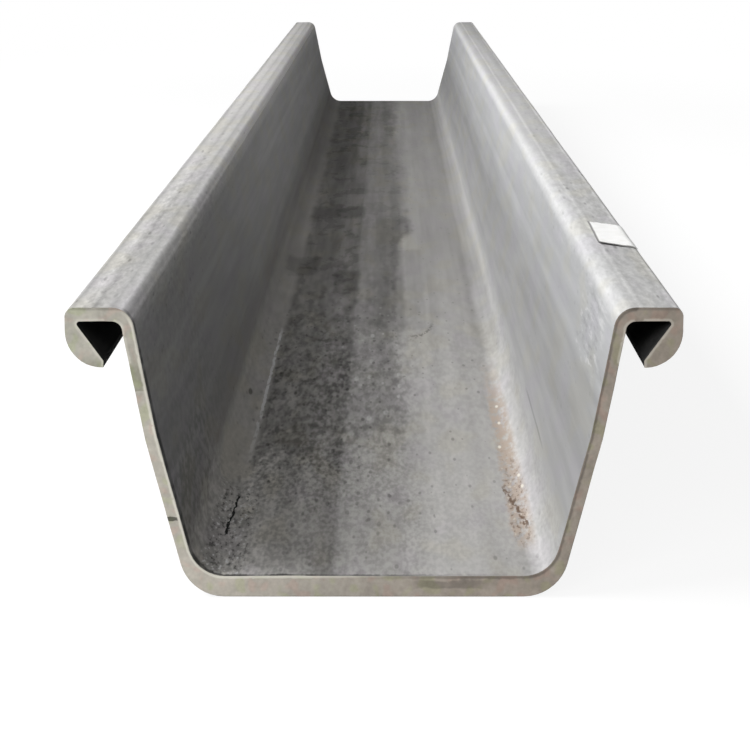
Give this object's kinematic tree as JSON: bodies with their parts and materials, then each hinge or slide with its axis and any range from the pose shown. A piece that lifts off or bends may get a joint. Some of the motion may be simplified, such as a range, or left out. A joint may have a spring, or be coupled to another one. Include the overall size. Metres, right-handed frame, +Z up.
{
  "type": "steel sheet pile",
  "caption": "Hot-rolled U-section steel sheet pile with a flat web, spreading flanges and a hooked interlock along each edge, joined edge to edge into retaining walls.",
  "frame": {"origin": "middle of the length, under the middle of the web's underside", "axes": "+Y along the pile, +X across it, +Z up out of the open trough"},
  "size_m": [0.444, 6, 0.211],
  "materials": {
    "rolled_steel": "hot-rolled mill finish, grey scale with light rust in places, bare cut ends"
  },
  "bodies": {
    "root": {"sheet_pile": "rolled_steel"}
  },
  "joints": []
}
